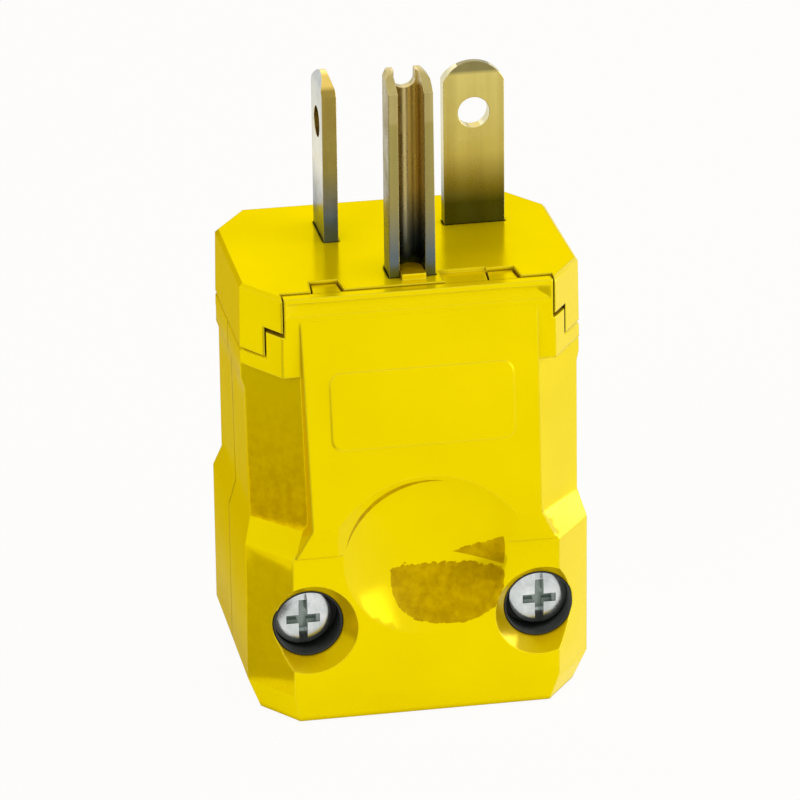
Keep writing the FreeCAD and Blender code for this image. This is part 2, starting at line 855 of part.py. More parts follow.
def front_cord_grip():
    """Jaw with a round bed and cross teeth, its rail in the cover's groove."""
    w = grip_half_width
    r = grip_bore_radius
    z0 = grip_bottom
    z1 = grip_bottom + grip_height
    jaw = block(-w, w, -cord_space_half_depth, -grip_split, z0, z1)
    body = fuse(jaw, grip_seat(0)).cut(rod_z(0, 0, z0 - past, z1 + past, r))
    ring = rod_z(0, 0, 0, grip_tooth_length, r + grip_tooth_root)
    ring = ring.cut(Part.makeCone(r, r - grip_tooth_height, grip_tooth_length, CORE, UP))
    tooth = ring.common(block(-w, w, -cord_space_half_depth, -grip_split, 0, grip_tooth_length))
    pitch = grip_height / grip_tooth_count
    teeth = []
    for k in range(grip_tooth_count):
        one = tooth.copy()
        one.translate(UP * (z0 + pitch * (k + 0.5) - grip_tooth_length / 2))
        teeth.append(one)
    return fuse(body, *teeth)


def write(name, shape):
    solids = shape.Solids
    result = solids[0] if len(solids) == 1 else Part.makeCompound(solids)
    result.exportStep("parts/" + name + ".step")
    print(name, len(solids), "valid" if result.isValid() else "INVALID", round(result.Volume, 1))


os.makedirs("parts", exist_ok=True)
write("face_body", face_body())
write("front_cover", front_cover())
write("rear_cover", rear_cover())
write("terminal_carrier", terminal_carrier())
write("line_blade", line_blade())
write("neutral_blade", neutral_blade())
write("ground_blade", ground_blade())
clamp = wire_clamp()
screw = terminal_screw(blade_thickness + terminal_nose)
for terminal in ("line", "neutral", "ground"):
    write(terminal + "_wire_clamp", placed_terminal(clamp, terminal))
    write(terminal + "_terminal_screw", placed_terminal(screw, terminal))
for word, side in (("left", -1), ("right", 1)):
    write("assembly_screw_" + word, assembly_screw(side))
    write("screw_retainer_" + word, screw_retainer(side))
    write("captive_nut_" + word, captive_nut(side))
    write("carrier_screw_" + word, carrier_screw(side))
jaw = front_cord_grip()
write("front_cord_grip", jaw)
write("rear_cord_grip", mirrored_in_depth(jaw))
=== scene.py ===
import bpy
import bmesh
import math
from mathutils import Matrix, Vector


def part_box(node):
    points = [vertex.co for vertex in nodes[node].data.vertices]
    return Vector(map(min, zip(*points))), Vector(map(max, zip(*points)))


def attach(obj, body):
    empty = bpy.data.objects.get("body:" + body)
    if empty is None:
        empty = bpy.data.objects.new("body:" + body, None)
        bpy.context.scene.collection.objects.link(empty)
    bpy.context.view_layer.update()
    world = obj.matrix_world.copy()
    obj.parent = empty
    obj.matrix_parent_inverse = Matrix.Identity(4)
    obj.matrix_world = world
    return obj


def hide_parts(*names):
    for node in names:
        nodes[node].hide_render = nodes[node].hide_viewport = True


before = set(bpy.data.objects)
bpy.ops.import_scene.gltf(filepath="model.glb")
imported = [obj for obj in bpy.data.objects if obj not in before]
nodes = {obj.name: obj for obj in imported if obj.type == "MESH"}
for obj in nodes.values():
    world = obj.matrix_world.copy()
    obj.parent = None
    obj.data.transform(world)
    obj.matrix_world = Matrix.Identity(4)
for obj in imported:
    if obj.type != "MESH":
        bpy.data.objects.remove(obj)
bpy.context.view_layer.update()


# Face body: the cap with the plug face, moulded in one piece from glossy yellow nylon. It holds the
# blades in its slots, and the front cover's tongue closes its open front.
MM = 0.001
plug_face = 46.2 * MM


def merged_copy(node, name, sharp=32.0):
    """Closed copy of a CAD node's mesh, in its place, smooth between the edges over sharp degrees."""
    mesh = nodes[node].data.copy()
    mesh.materials.clear()
    piece = bpy.data.objects.new(name, mesh)
    bpy.context.scene.collection.objects.link(piece)
    shell = bmesh.new()
    shell.from_mesh(mesh)
    bmesh.ops.remove_doubles(shell, verts=shell.verts, dist=0.002 * MM)
    for face in shell.faces:
        face.smooth = True
    for edge in shell.edges:
        edge.smooth = edge.is_manifold and edge.calc_face_angle() < math.radians(sharp)
    shell.to_mesh(mesh)
    shell.free()
    return piece


def stand_for(piece, node, material):
    """Puts a finished piece in a CAD node's place, with its material."""
    piece.data.materials.clear()
    piece.data.materials.append(material)
    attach(piece, "root")
    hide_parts(node)


def new_group(name, inputs, outputs):
    """Shader node group with (name, value) inputs and (name, socket type) outputs."""
    tree = bpy.data.node_groups.new(name, "ShaderNodeTree")
    for label, value in inputs:
        socket = tree.interface.new_socket(label, in_out="INPUT", socket_type="NodeSocketFloat")
        socket.default_value = value
    for label, kind in outputs:
        tree.interface.new_socket(label, in_out="OUTPUT", socket_type=kind)
    return tree, tree.nodes.new("NodeGroupInput"), tree.nodes.new("NodeGroupOutput")


def node_of(tree, kind, inputs=None, **settings):
    """Node of a kind, with values on its inputs and its other settings."""
    node = tree.nodes.new(kind)
    for key, value in settings.items():
        setattr(node, key, value)
    for key, value in (inputs or {}).items():
        node.inputs[key].default_value = value
    return node


def steps(tree, *rows):
    """Chain of Math nodes. A row is an operation and its operands, "last" being the row before."""
    value = None
    for operation, *operands in rows:
        node = node_of(tree, "ShaderNodeMath", operation=operation)
        for socket, operand in zip(node.inputs, operands):
            operand = value if operand == "last" else operand
            if isinstance(operand, (int, float)):
                socket.default_value = operand
            else:
                tree.links.new(operand, socket)
        value = node.outputs["Value"]
    return value


# Rounded edge: what a mould's or a die's worn edge does to the surface. Normal turns round every
# sharp edge within Radius, and Edge is 1 on the edge and 0 on the flat.
rounded_edge, given, wanted = new_group(
    "rounded edge", [("Radius", 0.2 * MM)],
    [("Normal", "NodeSocketVector"), ("Edge", "NodeSocketFloat")],
)
links = rounded_edge.links
turned = node_of(rounded_edge, "ShaderNodeBevel", samples=8)
plain = node_of(rounded_edge, "ShaderNodeNewGeometry")
along = node_of(rounded_edge, "ShaderNodeVectorMath", operation="DOT_PRODUCT")
edge = node_of(rounded_edge, "ShaderNodeMapRange", {"From Min": 0.995, "From Max": 0.8})
links.new(given.outputs["Radius"], turned.inputs["Radius"])
links.new(turned.outputs["Normal"], along.inputs[0])
links.new(plain.outputs["Normal"], along.inputs[1])
links.new(along.outputs["Value"], edge.inputs["Value"])
links.new(turned.outputs["Normal"], wanted.inputs["Normal"])
links.new(edge.outputs["Result"], wanted.inputs["Edge"])

# Moulded grain: fine pits and slow waves of a moulded skin. Height is for a bump, Tone and Gloss
# drift between 0 and 1 for colour and roughness.
moulded_grain, given, wanted = new_group(
    "moulded grain", [("Pits per metre", 9000.0), ("Waves per metre", 260.0), ("Wave height", 1.0)],
    [("Height", "NodeSocketFloat"), ("Tone", "NodeSocketFloat"), ("Gloss", "NodeSocketFloat")],
)
links = moulded_grain.links
place = node_of(moulded_grain, "ShaderNodeTexCoord")
pits = node_of(moulded_grain, "ShaderNodeTexNoise", {"Detail": 2.0, "Roughness": 0.6})
waves = node_of(moulded_grain, "ShaderNodeTexNoise", {"Detail": 3.0, "Roughness": 0.55})
drift = node_of(moulded_grain, "ShaderNodeTexNoise", {"Scale": 90.0, "Detail": 2.0})
raised = node_of(moulded_grain, "ShaderNodeMath", operation="MULTIPLY")
both = node_of(moulded_grain, "ShaderNodeMath", operation="ADD")
fine = node_of(moulded_grain, "ShaderNodeMath", {1: 0.05}, operation="MULTIPLY")
tone = node_of(moulded_grain, "ShaderNodeMapRange", {"From Min": 0.3, "From Max": 0.7})
gloss = node_of(moulded_grain, "ShaderNodeMapRange", {"From Min": 0.3, "From Max": 0.7})
for texture in (pits, waves, drift):
    links.new(place.outputs["Object"], texture.inputs["Vector"])
links.new(given.outputs["Pits per metre"], pits.inputs["Scale"])
links.new(given.outputs["Waves per metre"], waves.inputs["Scale"])
links.new(given.outputs["Wave height"], raised.inputs[1])
links.new(waves.outputs["Fac"], raised.inputs[0])
links.new(pits.outputs["Fac"], fine.inputs[0])
links.new(raised.outputs["Value"], both.inputs[0])
links.new(fine.outputs["Value"], both.inputs[1])
links.new(both.outputs["Value"], wanted.inputs["Height"])
links.new(drift.outputs["Fac"], tone.inputs["Value"])
links.new(tone.outputs["Result"], wanted.inputs["Tone"])
links.new(waves.outputs["Fac"], gloss.inputs["Value"])
links.new(gloss.outputs["Result"], wanted.inputs["Gloss"])

# Crease: 1 deep in a seam or an inner corner and 0 in the open, for painted shade in creases.
crease, given, wanted = new_group("crease", [("Reach", 1.6 * MM)], [("Crease", "NodeSocketFloat")])
near = node_of(crease, "ShaderNodeAmbientOcclusion", samples=8)
shut = node_of(crease, "ShaderNodeMapRange", {"From Min": 0.62, "From Max": 0.25})
crease.links.new(given.outputs["Reach"], near.inputs["Distance"])
crease.links.new(near.outputs["AO"], shut.inputs["Value"])
crease.links.new(shut.outputs["Result"], wanted.inputs["Crease"])

# Dish marks: painted shade and painted dark reflection in the front dish, as a mask from 0 to 1.
# There is a large dark blot with a ragged top, a wedge on its right and a thin line of painted shade
# under the upper left rim. Mottle drifts between 0 and 1 in blots, for the marks' own tones.
dish_front = -12.0 * MM
mark_corners = 2.4
mark_size = 0.97
mark_raggedness = 0.4
top_raggedness = 1.6 * MM
wedge_raggedness = 0.8 * MM
wedge_rise = 0.38
wedge_fall = 0.22
wedge_reach = 8.2 * MM
rim_line = 0.55 * MM
rim_taper = 3.2
rim_left = -0.55
rim_up = 0.835
dish_marks, given, wanted = new_group(
    "dish marks",
    [("Dish Z", 17.95 * MM), ("Rim radius", 8.4 * MM), ("Mark X", 2.3 * MM), ("Mark Z", 14.7 * MM),
     ("Half width", 5.8 * MM), ("Half height", 4.6 * MM), ("Top Z", 16.2 * MM),
     ("Wedge X", 3.0 * MM), ("Wedge Z", 17.4 * MM)],
    [("Marks", "NodeSocketFloat"), ("Mottle", "NodeSocketFloat")],
)
place = node_of(dish_marks, "ShaderNodeTexCoord")
split = node_of(dish_marks, "ShaderNodeSeparateXYZ")
blots = node_of(dish_marks, "ShaderNodeTexNoise", {"Scale": 900.0, "Detail": 4.0, "Roughness": 0.65})
mottle = node_of(dish_marks, "ShaderNodeMapRange", {"From Min": 0.36, "From Max": 0.66})
dish_marks.links.new(place.outputs["Object"], split.inputs["Vector"])
dish_marks.links.new(place.outputs["Object"], blots.inputs["Vector"])
dish_marks.links.new(blots.outputs["Fac"], mottle.inputs["Value"])
dish_marks.links.new(mottle.outputs["Result"], wanted.inputs["Mottle"])
x, y, z = (split.outputs[axis] for axis in "XYZ")
ragged = steps(dish_marks, ("SUBTRACT", blots.outputs["Fac"], 0.5))

wide = steps(
    dish_marks, ("SUBTRACT", x, given.outputs["Mark X"]), ("ABSOLUTE", "last"),
    ("DIVIDE", "last", given.outputs["Half width"]), ("POWER", "last", mark_corners),
)
high = steps(
    dish_marks, ("SUBTRACT", z, given.outputs["Mark Z"]), ("ABSOLUTE", "last"),
    ("DIVIDE", "last", given.outputs["Half height"]), ("POWER", "last", mark_corners),
)
rough_top = steps(dish_marks, ("MULTIPLY_ADD", ragged, top_raggedness, z))
below = steps(dish_marks, ("LESS_THAN", rough_top, given.outputs["Top Z"]))
lower_blot = steps(
    dish_marks, ("ADD", wide, high), ("MULTIPLY_ADD", ragged, mark_raggedness, "last"),
    ("LESS_THAN", "last", mark_size), ("MULTIPLY", "last", below),
)

up_dish = steps(dish_marks, ("SUBTRACT", z, given.outputs["Dish Z"]))
from_middle = steps(
    dish_marks, ("MULTIPLY", x, x), ("MULTIPLY_ADD", up_dish, up_dish, "last"), ("SQRT", "last"),
)
right_of = steps(dish_marks, ("SUBTRACT", x, given.outputs["Wedge X"]))
above = steps(dish_marks, ("SUBTRACT", z, given.outputs["Wedge Z"]))
under_line = steps(
    dish_marks, ("MULTIPLY_ADD", right_of, -wedge_rise, above),
    ("MULTIPLY_ADD", ragged, wedge_raggedness, "last"), ("LESS_THAN", "last", 0.0),
)
over_line = steps(
    dish_marks, ("MULTIPLY_ADD", right_of, wedge_fall, above), ("GREATER_THAN", "last", 0.0),
)
wedge = steps(
    dish_marks, ("LESS_THAN", from_middle, wedge_reach), ("MULTIPLY", "last", under_line),
    ("MULTIPLY", "last", over_line),
)

upper_left = steps(
    dish_marks, ("MULTIPLY", x, rim_left), ("MULTIPLY_ADD", up_dish, rim_up, "last"),
    ("DIVIDE", "last", from_middle), ("MULTIPLY_ADD", "last", rim_taper, 1.0 - rim_taper),
    ("MAXIMUM", "last", 0.0),
)
inward = steps(dish_marks, ("SUBTRACT", given.outputs["Rim radius"], from_middle))
within_rim = steps(dish_marks, ("GREATER_THAN", inward, 0.0))
beside_rim = steps(
    dish_marks, ("MULTIPLY", upper_left, rim_line), ("GREATER_THAN", "last", inward),
)
rim_shade = steps(dish_marks, ("MULTIPLY", within_rim, beside_rim))
in_front = steps(dish_marks, ("LESS_THAN", y, dish_front))
all_marks = steps(
    dish_marks, ("MAXIMUM", lower_blot, wedge), ("MAXIMUM", "last", rim_shade),
    ("MULTIPLY", "last", in_front),
)
dish_marks.links.new(all_marks, wanted.inputs["Marks"])

# Painted face shade: masks from 0 to 1 of faces painted darker as shade. Corner is the left front
# corners, darkest at the waist's foot, Side the left faces, Cone the cones round the screws, and Boss
# the top of the boss between the ground pin's legs, as painted shadow.
screw_low, screw_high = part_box("assembly_screw_right")
screw_axis = (screw_low + screw_high) / 2
corner_normal = (-0.77, -0.64, 0.0)
corner_match = 0.97
block_share = 0.32
shade_start = 0.05
shade_growth = 60.0
side_leftward = -0.7
side_lean = 0.3
cone_slope = -0.15
cone_front = -10.5 * MM
painted_face_shade, given, wanted = new_group(
    "painted face shade",
    [("Shade top Z", 37.5 * MM), ("Waist foot Z", 19.0 * MM), ("Screw X", screw_axis.x),
     ("Screw Z", screw_axis.z), ("Cone radius", 6.2 * MM), ("Boss Z", plug_face + 0.5 * MM),
     ("Boss half width", 1.4 * MM)],
    [("Corner", "NodeSocketFloat"), ("Side", "NodeSocketFloat"), ("Cone", "NodeSocketFloat"),
     ("Boss", "NodeSocketFloat")],
)
place = node_of(painted_face_shade, "ShaderNodeTexCoord")
split = node_of(painted_face_shade, "ShaderNodeSeparateXYZ")
facing = node_of(painted_face_shade, "ShaderNodeNewGeometry")
turned = node_of(painted_face_shade, "ShaderNodeVectorMath", {1: corner_normal}, operation="DOT_PRODUCT")
normal = node_of(painted_face_shade, "ShaderNodeSeparateXYZ")
painted_face_shade.links.new(place.outputs["Object"], split.inputs["Vector"])
painted_face_shade.links.new(facing.outputs["True Normal"], turned.inputs[0])
painted_face_shade.links.new(facing.outputs["True Normal"], normal.inputs["Vector"])
x, y, z = (split.outputs[axis] for axis in "XYZ")

on_corner = steps(painted_face_shade, ("GREATER_THAN", turned.outputs["Value"], corner_match))
below_top = steps(painted_face_shade, ("LESS_THAN", z, given.outputs["Shade top Z"]))
downwards = steps(
    painted_face_shade, ("SUBTRACT", given.outputs["Shade top Z"], z),
    ("MULTIPLY_ADD", "last", shade_growth, shade_start), ("MINIMUM", "last", 1.0),
)
less_on_block = steps(
    painted_face_shade, ("LESS_THAN", z, given.outputs["Waist foot Z"]),
    ("MULTIPLY_ADD", "last", block_share - 1.0, 1.0),
)
corner = steps(
    painted_face_shade, ("MULTIPLY", downwards, less_on_block), ("MULTIPLY", "last", below_top),
    ("MULTIPLY", "last", on_corner),
)
painted_face_shade.links.new(corner, wanted.inputs["Corner"])

leftward = steps(painted_face_shade, ("LESS_THAN", normal.outputs["X"], side_leftward))
side = steps(
    painted_face_shade, ("ABSOLUTE", normal.outputs["Y"]), ("LESS_THAN", "last", side_lean),
    ("MULTIPLY", "last", leftward),
)
painted_face_shade.links.new(side, wanted.inputs["Side"])

# A cone's face looks towards its own screw.
off_screw = steps(painted_face_shade, ("ABSOLUTE", x), ("SUBTRACT", "last", given.outputs["Screw X"]))
over_screw = steps(painted_face_shade, ("SUBTRACT", z, given.outputs["Screw Z"]))
from_screw = steps(
    painted_face_shade, ("MULTIPLY", over_screw, over_screw),
    ("MULTIPLY_ADD", off_screw, off_screw, "last"), ("SQRT", "last"),
)
sideways = steps(
    painted_face_shade, ("SIGN", x), ("MULTIPLY", "last", normal.outputs["X"]),
    ("MULTIPLY", "last", off_screw),
)
outward = steps(
    painted_face_shade, ("MULTIPLY_ADD", over_screw, normal.outputs["Z"], sideways),
    ("DIVIDE", "last", from_screw),
)
inward = steps(painted_face_shade, ("LESS_THAN", outward, cone_slope))
in_front = steps(painted_face_shade, ("LESS_THAN", y, cone_front))
cone = steps(
    painted_face_shade, ("LESS_THAN", from_screw, given.outputs["Cone radius"]),
    ("MULTIPLY", "last", inward), ("MULTIPLY", "last", in_front),
)
painted_face_shade.links.new(cone, wanted.inputs["Cone"])

on_boss = steps(
    painted_face_shade, ("ABSOLUTE", x), ("LESS_THAN", "last", given.outputs["Boss half width"]),
)
boss = steps(
    painted_face_shade, ("GREATER_THAN", z, given.outputs["Boss Z"]), ("MULTIPLY", "last", on_boss),
    ("MULTIPLY", "last", normal.outputs["Z"]),
)
painted_face_shade.links.new(boss, wanted.inputs["Boss"])


def new_material(name, metallic=0.0, roughness=0.4):
    """Material with its node tree and its Principled shader."""
    material = bpy.data.materials.new(name)
    material.use_nodes = True
    tree = material.node_tree
    shader = tree.nodes["Principled BSDF"]
    shader.inputs["Metallic"].default_value = metallic
    shader.inputs["Roughness"].default_value = roughness
    return material, tree, shader


def use_group(tree, group, **values):
    """Places a shared effect in a material, with its own values."""
    node = tree.nodes.new("ShaderNodeGroup")
    node.node_tree = group
    for key, value in values.items():
        node.inputs[key.replace("_", " ")].default_value = value
    return node


def blend(tree, factor, low, high):
    """Colour output that goes from low to high with a factor output."""
    mix = node_of(tree, "ShaderNodeMix", data_type="RGBA")
    tree.links.new(factor, mix.inputs["Factor"])
    for socket, colour in ((mix.inputs[6], low), (mix.inputs[7], high)):
        if isinstance(colour, tuple):
            socket.default_value = colour + (1.0,)
        else:
            tree.links.new(colour, socket)
    return mix.outputs[2]


def remap(tree, value, low, high):
    """Value output that goes from low to high as a value output goes from 0 to 1."""
    spread = node_of(tree, "ShaderNodeMapRange", {"To Min": low, "To Max": high})
    tree.links.new(value, spread.inputs["Value"])
    return spread.outputs["Result"]


def bumped(tree, shader, height, edge, strength, distance):
    """Bump on top of the Normal of an edge group, into the shader's Normal."""
    bump = node_of(tree, "ShaderNodeBump", {"Strength": strength, "Distance": distance})
    tree.links.new(height, bump.inputs["Height"])
    tree.links.new(edge.outputs["Normal"], bump.inputs["Normal"])
    tree.links.new(bump.outputs["Normal"], shader.inputs["Normal"])


# Painted sheen: the specular level and a paler tint rise on faces that look right and up, not
# elsewhere.
painted_sheen_side = (0.70, -0.58, 0.42)
nylon, tree, shader = new_material("yellow nylon", metallic=0.38)
surface = node_of(tree, "ShaderNodeNewGeometry")
glossy = node_of(tree, "ShaderNodeVectorMath", {1: painted_sheen_side}, operation="DOT_PRODUCT")
gloss = node_of(tree, "ShaderNodeMapRange", {"From Min": 0.6, "From Max": 1.0, "To Max": 0.6})
tree.links.new(surface.outputs["True Normal"], glossy.inputs[0])
tree.links.new(glossy.outputs["Value"], gloss.inputs["Value"])
tree.links.new(gloss.outputs["Result"], shader.inputs["Specular IOR Level"])
tint = blend(tree, gloss.outputs["Result"], (1.0, 0.9, 0.0), (1.0, 0.96, 0.9))
tree.links.new(tint, shader.inputs["Specular Tint"])

edge = use_group(tree, rounded_edge, Radius=0.32 * MM)
grain = use_group(tree, moulded_grain)
seam = use_group(tree, crease)
marks = use_group(tree, dish_marks)
face_shade = use_group(tree, painted_face_shade)
clean = blend(tree, grain.outputs["Tone"], (0.86, 0.72, 0.0), (0.91, 0.77, 0.0))
# Painted highlight: the nylon's edges are lighter.
edge_lightened = blend(tree, remap(tree, edge.outputs["Edge"], 0.0, 0.35), clean, (1.0, 0.97, 0.10))
# Painted shade and dark reflection in the dish, and painted shadow on the boss.
dish_shade_tone = blend(tree, marks.outputs["Mottle"], (0.40, 0.25, 0.0), (0.58, 0.40, 0.0))
# Painted shade on the left front corners, mottled.
corner_shade_tone = blend(tree, marks.outputs["Mottle"], (0.70, 0.48, 0.0), (0.90, 0.68, 0.0))
dish_and_boss_shade = steps(
    tree, ("MAXIMUM", marks.outputs["Marks"], face_shade.outputs["Boss"]), ("MULTIPLY", "last", 0.9),
)
# Painted shade on the left faces and in the cones round the screws.
side_and_cone_shade = steps(
    tree, ("MAXIMUM", face_shade.outputs["Side"], face_shade.outputs["Cone"]), ("MULTIPLY", "last", 0.8),
)
# Painted shade: creases and seams darken to a deep brown.
crease_shade = steps(tree, ("MULTIPLY", seam.outputs["Crease"], 0.75))
skin = blend(tree, dish_and_boss_shade, edge_lightened, dish_shade_tone)
skin = blend(tree, side_and_cone_shade, skin, (0.62, 0.46, 0.0))
skin = blend(tree, face_shade.outputs["Corner"], skin, corner_shade_tone)
skin = blend(tree, crease_shade, skin, (0.36, 0.22, 0.0))
tree.links.new(skin, shader.inputs["Base Color"])
tree.links.new(remap(tree, grain.outputs["Gloss"], 0.14, 0.24), shader.inputs["Roughness"])
bumped(tree, shader, grain.outputs["Height"], edge, 0.25, 0.05 * MM)

stand_for(merged_copy("face_body", "face_body_nylon"), "face_body", nylon)


# Front and rear covers: two half shells of the same nylon, closed round the cord by two screws.
# The front one hooks into the plug face by two tabs.
for name in ("front_cover", "rear_cover"):
    stand_for(merged_copy(name, name + "_nylon"), name, nylon)


# Flat blades: the line blade and the neutral blade are stamped from 1.5 mm brass strip, with a
# rounded and coined tip and a locking hole. Each is punched with its own terminal plate and is
# held in its slot of the plug face.

# Rolled metal: lines of the rolling mill along Z. Height is for a bump, Streak drifts between 0
# and 1 across the lines, and Stain in clouds.
rolled_metal, given, wanted = new_group(
    "rolled metal", [("Lines per metre", 5000.0), ("Stretch", 0.03)],
    [("Height", "NodeSocketFloat"), ("Streak", "NodeSocketFloat"), ("Stain", "NodeSocketFloat")],
)
links = rolled_metal.links
place = node_of(rolled_metal, "ShaderNodeTexCoord")
squeeze = node_of(rolled_metal, "ShaderNodeCombineXYZ", {"X": 1.0, "Y": 1.0})
along = node_of(rolled_metal, "ShaderNodeVectorMath", operation="MULTIPLY")
lines = node_of(rolled_metal, "ShaderNodeTexNoise", {"Detail": 2.0})
wide = node_of(rolled_metal, "ShaderNodeTexNoise", {"Scale": 900.0, "Detail": 3.0})
cloud = node_of(
    rolled_metal, "ShaderNodeTexNoise", {"Scale": 420.0, "Detail": 3.0, "Roughness": 0.6},
)
streak = node_of(rolled_metal, "ShaderNodeMapRange", {"From Min": 0.3, "From Max": 0.7})
stain = node_of(rolled_metal, "ShaderNodeMapRange", {"From Min": 0.35, "From Max": 0.68})
links.new(given.outputs["Stretch"], squeeze.inputs["Z"])
links.new(place.outputs["Object"], along.inputs[0])
links.new(squeeze.outputs["Vector"], along.inputs[1])
links.new(along.outputs["Vector"], lines.inputs["Vector"])
links.new(along.outputs["Vector"], wide.inputs["Vector"])
links.new(place.outputs["Object"], cloud.inputs["Vector"])
links.new(given.outputs["Lines per metre"], lines.inputs["Scale"])
links.new(lines.outputs["Fac"], wanted.inputs["Height"])
links.new(wide.outputs["Fac"], streak.inputs["Value"])
links.new(streak.outputs["Result"], wanted.inputs["Streak"])
links.new(cloud.outputs["Fac"], stain.inputs["Value"])
links.new(stain.outputs["Result"], wanted.inputs["Stain"])

# Part height: 0 at From and 1 at To, in metres along Z.
part_height, given, wanted = new_group(
    "part height", [("From", plug_face), ("To", plug_face + 20 * MM)],
    [("Height", "NodeSocketFloat")],
)
place = node_of(part_height, "ShaderNodeTexCoord")
split = node_of(part_height, "ShaderNodeSeparateXYZ")
level = node_of(part_height, "ShaderNodeMapRange")
part_height.links.new(place.outputs["Object"], split.inputs["Vector"])
part_height.links.new(split.outputs["Z"], level.inputs["Value"])
part_height.links.new(given.outputs["From"], level.inputs["From Min"])
part_height.links.new(given.outputs["To"], level.inputs["From Max"])
part_height.links.new(level.outputs["Result"], wanted.inputs["Height"])


# Heights above the plug face: up to where the brass is painted dark as shade, from where it has its
# full painted tones, and where the coined tip starts.
dark_foot_height = 2.3 * MM
middle_height = 7.8 * MM
full_tone_height = 16.3 * MM
coined_from = 16.2 * MM
coined_to = 16.6 * MM


def brass_material(name, roughness, foot, plain, other, other_faces):
    """Brass with painted shade at the plug face and painted reflections in its tones above, with a
    coined tip.

    Plain holds the tones of the middle, the top and the coined tip. Other holds those of the faces
    where the mask that other_faces(tree) makes is 1.
    """
    material, tree, shader = new_material(name, metallic=1.0)
    edge = use_group(tree, rounded_edge, Radius=0.12 * MM)
    rolled = use_group(tree, rolled_metal)
    low = use_group(
        tree, part_height, From=plug_face + dark_foot_height, To=plug_face + middle_height,
    )
    high = use_group(
        tree, part_height, From=plug_face + middle_height, To=plug_face + full_tone_height,
    )
    tip = use_group(tree, part_height, From=plug_face + coined_from, To=plug_face + coined_to)
    tones = []
    for middle, top, coined in (plain, other):
        lower = blend(tree, low.outputs["Height"], foot, middle)
        body = blend(tree, high.outputs["Height"], lower, top)
        tones.append(blend(tree, tip.outputs["Height"], body, coined))
    tone = blend(tree, other_faces(tree), *tones)
    streaks = blend(tree, rolled.outputs["Streak"], (0.62, 0.57, 0.46), (1.0, 1.0, 1.0))
    streaked = node_of(
        tree, "ShaderNodeMix", {"Factor": 0.4}, data_type="RGBA", blend_type="MULTIPLY",
    )
    tree.links.new(tone, streaked.inputs[6])
    tree.links.new(streaks, streaked.inputs[7])
    # Painted highlight: the edges are lighter.
    bright = remap(tree, edge.outputs["Edge"], 0.0, 0.55)
    rim = blend(tree, bright, streaked.outputs[2], (0.92, 0.80, 0.45))
    tree.links.new(rim, shader.inputs["Base Color"])
    spread = remap(tree, rolled.outputs["Stain"], roughness - 0.06, roughness + 0.08)
    tree.links.new(spread, shader.inputs["Roughness"])
    bumped(tree, shader, rolled.outputs["Height"], edge, 0.12, 0.02 * MM)
    return material


def facing_sideways(tree):
    """Mask of the faces that look to the left or right."""
    facing = node_of(tree, "ShaderNodeNewGeometry")
    normal = node_of(tree, "ShaderNodeSeparateXYZ")
    tree.links.new(facing.outputs["True Normal"], normal.inputs["Vector"])
    return steps(tree, ("ABSOLUTE", normal.outputs["X"]), ("GREATER_THAN", "last", 0.5))


# The neutral blade's cut edges are painted light and its coined tip dark, as painted reflections.
neutral_brass = brass_material(
    "neutral blade brass", 0.3, foot=(0.085, 0.09, 0.022),
    plain=((0.60, 0.48, 0.11), (0.68, 0.56, 0.16), (0.26, 0.22, 0.08)),
    other=((0.80, 0.74, 0.45), (0.80, 0.74, 0.45), (0.80, 0.74, 0.45)),
    other_faces=facing_sideways,
)
# The line blade's sides are painted cream and grey-blue, as painted reflections, and its coined tip
# bright gold, as a painted highlight.
line_brass = brass_material(
    "line blade brass", 0.28, foot=(0.10, 0.13, 0.15),
    plain=((0.33, 0.26, 0.06), (0.40, 0.29, 0.06), (0.92, 0.66, 0.16)),
    other=((0.82, 0.78, 0.58), (0.60, 0.62, 0.56), (0.50, 0.54, 0.52)),
    other_faces=facing_sideways,
)
for blade, brass in (("neutral_blade", neutral_brass), ("line_blade", line_brass)):
    stand_for(merged_copy(blade, blade + "_brass"), blade, brass)


# Ground pin: the same brass bent to a channel, open to the front. Its inside lies in shadow and is
# painted a lighter, warmer tone than its outside, as painted reflection between the channel's walls.
channel_half_width = 1.34 * MM
channel_back = -5.7 * MM


def inside_channel(tree):
    """Mask of the inside of the ground pin."""
    place = node_of(tree, "ShaderNodeTexCoord")
    split = node_of(tree, "ShaderNodeSeparateXYZ")
    tree.links.new(place.outputs["Object"], split.inputs["Vector"])
    in_depth = steps(tree, ("LESS_THAN", split.outputs["Y"], channel_back))
    return steps(
        tree, ("ABSOLUTE", split.outputs["X"]), ("LESS_THAN", "last", channel_half_width),
        ("MULTIPLY", "last", in_depth),
    )


pin_brass = brass_material(
    "ground pin brass", 0.3, foot=(0.13, 0.16, 0.17),
    plain=((0.35, 0.29, 0.09), (0.41, 0.34, 0.10), (0.50, 0.41, 0.15)),
    other=((0.64, 0.51, 0.20), (0.68, 0.55, 0.23), (0.68, 0.55, 0.23)),
    other_faces=inside_channel,
)
pin = merged_copy("ground_blade", "ground_blade_brass")
stand_for(pin, "ground_blade", pin_brass)


# Assembly screws: nickel-plated steel with a cross and a slot in a domed head. They run through
# both covers, and their threaded ends show in the nuts' pockets at the back.

